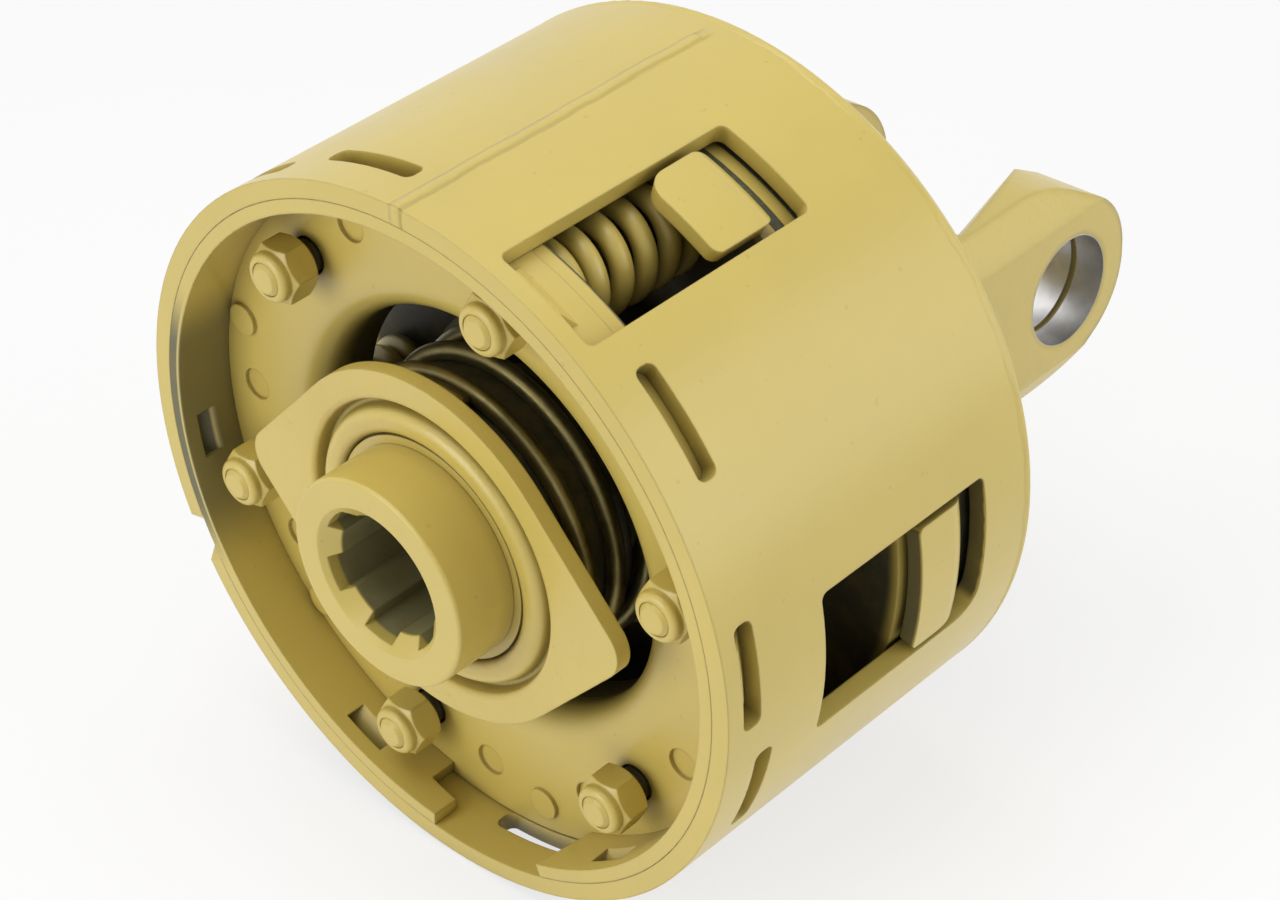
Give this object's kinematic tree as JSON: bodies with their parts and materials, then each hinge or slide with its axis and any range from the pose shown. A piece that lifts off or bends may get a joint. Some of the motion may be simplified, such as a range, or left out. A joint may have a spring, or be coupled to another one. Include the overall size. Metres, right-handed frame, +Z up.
{
  "type": "friction slip clutch",
  "caption": "Sprung friction slip clutch with a welded drum, forged yoke, splined hub and sprung quick-release pull collar for a farm driveline.",
  "frame": {"origin": "centre of the hub's front face, on the clutch axis", "axes": "+Y runs along the clutch axis from the hub to the yoke, X runs along the yoke's cross bore, +Z is up"},
  "size_m": [0.1802, 0.2104, 0.1805],
  "materials": {
    "drum_shell": "semi-gloss dull yellow paint",
    "rear_flange": "semi-gloss dull yellow paint",
    "yoke": "semi-gloss dull yellow paint",
    "setting_ring": "semi-gloss dull yellow paint",
    "front_plate": "semi-gloss dull yellow paint",
    "pressure_plate": "semi-gloss dull yellow paint",
    "driver_plate": "semi-gloss dull yellow paint",
    "pull_collar": "semi-gloss dull yellow paint",
    "snap_ring": "semi-gloss dull yellow paint",
    "hub": "semi-gloss dull yellow paint",
    "front_inner_plate": "oiled bare steel",
    "rear_inner_plate": "oiled bare steel",
    "hub_circlip": "oiled bare steel",
    "thrust_washer": "oiled bare steel",
    "spring_seat": "oiled bare steel",
    "lining_1": "resin-bonded friction lining",
    "lining_2": "resin-bonded friction lining",
    "lining_3": "resin-bonded friction lining",
    "lining_4": "resin-bonded friction lining",
    "hub_bush": "sintered bronze",
    "collar_spring": "dark oiled spring steel",
    "locking_ball_1": "hardened steel ball",
    "locking_ball_2": "hardened steel ball",
    "locking_ball_3": "hardened steel ball",
    "stud_1": "semi-gloss dull yellow paint",
    "lock_nut_1": "semi-gloss dull yellow paint",
    "spring_1": "semi-gloss dull yellow paint",
    "nut_insert_1": "nylon",
    "stud_2": "semi-gloss dull yellow paint",
    "lock_nut_2": "semi-gloss dull yellow paint",
    "spring_2": "semi-gloss dull yellow paint",
    "nut_insert_2": "nylon",
    "stud_3": "semi-gloss dull yellow paint",
    "lock_nut_3": "semi-gloss dull yellow paint",
    "spring_3": "semi-gloss dull yellow paint",
    "nut_insert_3": "nylon",
    "stud_4": "semi-gloss dull yellow paint",
    "lock_nut_4": "semi-gloss dull yellow paint",
    "spring_4": "semi-gloss dull yellow paint",
    "nut_insert_4": "nylon",
    "stud_5": "semi-gloss dull yellow paint",
    "lock_nut_5": "semi-gloss dull yellow paint",
    "spring_5": "semi-gloss dull yellow paint",
    "nut_insert_5": "nylon",
    "stud_6": "semi-gloss dull yellow paint",
    "lock_nut_6": "semi-gloss dull yellow paint",
    "spring_6": "semi-gloss dull yellow paint",
    "nut_insert_6": "nylon"
  },
  "bodies": {
    "hub_body": {"hub": "hub", "front_inner_plate": "front_inner_plate", "rear_inner_plate": "rear_inner_plate", "lining_1": "lining_1", "lining_2": "lining_2", "lining_3": "lining_3", "lining_4": "lining_4", "spring_seat": "spring_seat", "collar_spring": "collar_spring", "snap_ring": "snap_ring"},
    "drum_body": {"drum_shell": "drum_shell", "rear_flange": "rear_flange", "yoke": "yoke", "setting_ring": "setting_ring", "front_plate": "front_plate", "driver_plate": "driver_plate", "hub_bush": "hub_bush", "hub_circlip": "hub_circlip", "thrust_washer": "thrust_washer", "spring_1": "spring_1", "spring_2": "spring_2", "spring_3": "spring_3", "spring_4": "spring_4", "spring_5": "spring_5", "spring_6": "spring_6"},
    "pressure_body": {"pressure_plate": "pressure_plate", "stud_1": "stud_1", "stud_2": "stud_2", "stud_3": "stud_3", "stud_4": "stud_4", "stud_5": "stud_5", "stud_6": "stud_6"},
    "collar_body": {"pull_collar": "pull_collar"},
    "nut_body_1": {"lock_nut_1": "lock_nut_1", "nut_insert_1": "nut_insert_1"},
    "nut_body_2": {"lock_nut_2": "lock_nut_2", "nut_insert_2": "nut_insert_2"},
    "nut_body_3": {"lock_nut_3": "lock_nut_3", "nut_insert_3": "nut_insert_3"},
    "nut_body_4": {"lock_nut_4": "lock_nut_4", "nut_insert_4": "nut_insert_4"},
    "nut_body_5": {"lock_nut_5": "lock_nut_5", "nut_insert_5": "nut_insert_5"},
    "nut_body_6": {"lock_nut_6": "lock_nut_6", "nut_insert_6": "nut_insert_6"},
    "ball_body_1": {"locking_ball_1": "locking_ball_1"},
    "ball_body_2": {"locking_ball_2": "locking_ball_2"},
    "ball_body_3": {"locking_ball_3": "locking_ball_3"}
  },
  "joints": [
    {"name": "drum_turn", "type": "hinge", "parent": "hub_body", "child": "drum_body", "pos_m": [0, 0, 0], "axis": [0, 1, 0], "continuous": true},
    {"name": "release_slide", "type": "slide", "parent": "drum_body", "child": "pressure_body", "axis": [0, -1, 0], "range_m": [0, 0.0015], "stiffness_N_per_m": 20000, "springref_m": -0.01, "deforming": ["spring_1", "spring_2", "spring_3", "spring_4", "spring_5", "spring_6"]},
    {"name": "collar_slide", "type": "slide", "parent": "hub_body", "child": "collar_body", "axis": [0, 1, 0], "range_m": [0, 0.009], "stiffness_N_per_m": 1500, "springref_m": -0.006, "deforming": ["collar_spring"]},
    {"name": "nut_1_travel", "type": "slide", "parent": "pressure_body", "child": "nut_body_1", "axis": [0, 1, 0], "range_m": [0, 0.003]},
    {"name": "nut_2_travel", "type": "slide", "parent": "pressure_body", "child": "nut_body_2", "axis": [0, 1, 0], "range_m": [0, 0.003]},
    {"name": "nut_3_travel", "type": "slide", "parent": "pressure_body", "child": "nut_body_3", "axis": [0, 1, 0], "range_m": [0, 0.003]},
    {"name": "nut_4_travel", "type": "slide", "parent": "pressure_body", "child": "nut_body_4", "axis": [0, 1, 0], "range_m": [0, 0.003]},
    {"name": "nut_5_travel", "type": "slide", "parent": "pressure_body", "child": "nut_body_5", "axis": [0, 1, 0], "range_m": [0, 0.003]},
    {"name": "nut_6_travel", "type": "slide", "parent": "pressure_body", "child": "nut_body_6", "axis": [0, 1, 0], "range_m": [0, 0.003]},
    {"name": "ball_1_lift", "type": "slide", "parent": "hub_body", "child": "ball_body_1", "axis": [0.9421, 0, 0.3355], "range_m": [0, 0.0024]},
    {"name": "ball_2_lift", "type": "slide", "parent": "hub_body", "child": "ball_body_2", "axis": [-0.7615, 0, 0.6481], "range_m": [0, 0.0024]},
    {"name": "ball_3_lift", "type": "slide", "parent": "hub_body", "child": "ball_body_3", "axis": [-0.1805, 0, -0.9836], "range_m": [0, 0.0024]}
  ],
  "couplings": [
    {"joint": "ball_1_lift", "follows": "collar_slide", "ratio": 0.2666},
    {"joint": "ball_2_lift", "follows": "collar_slide", "ratio": 0.2666},
    {"joint": "ball_3_lift", "follows": "collar_slide", "ratio": 0.2666}
  ]
}
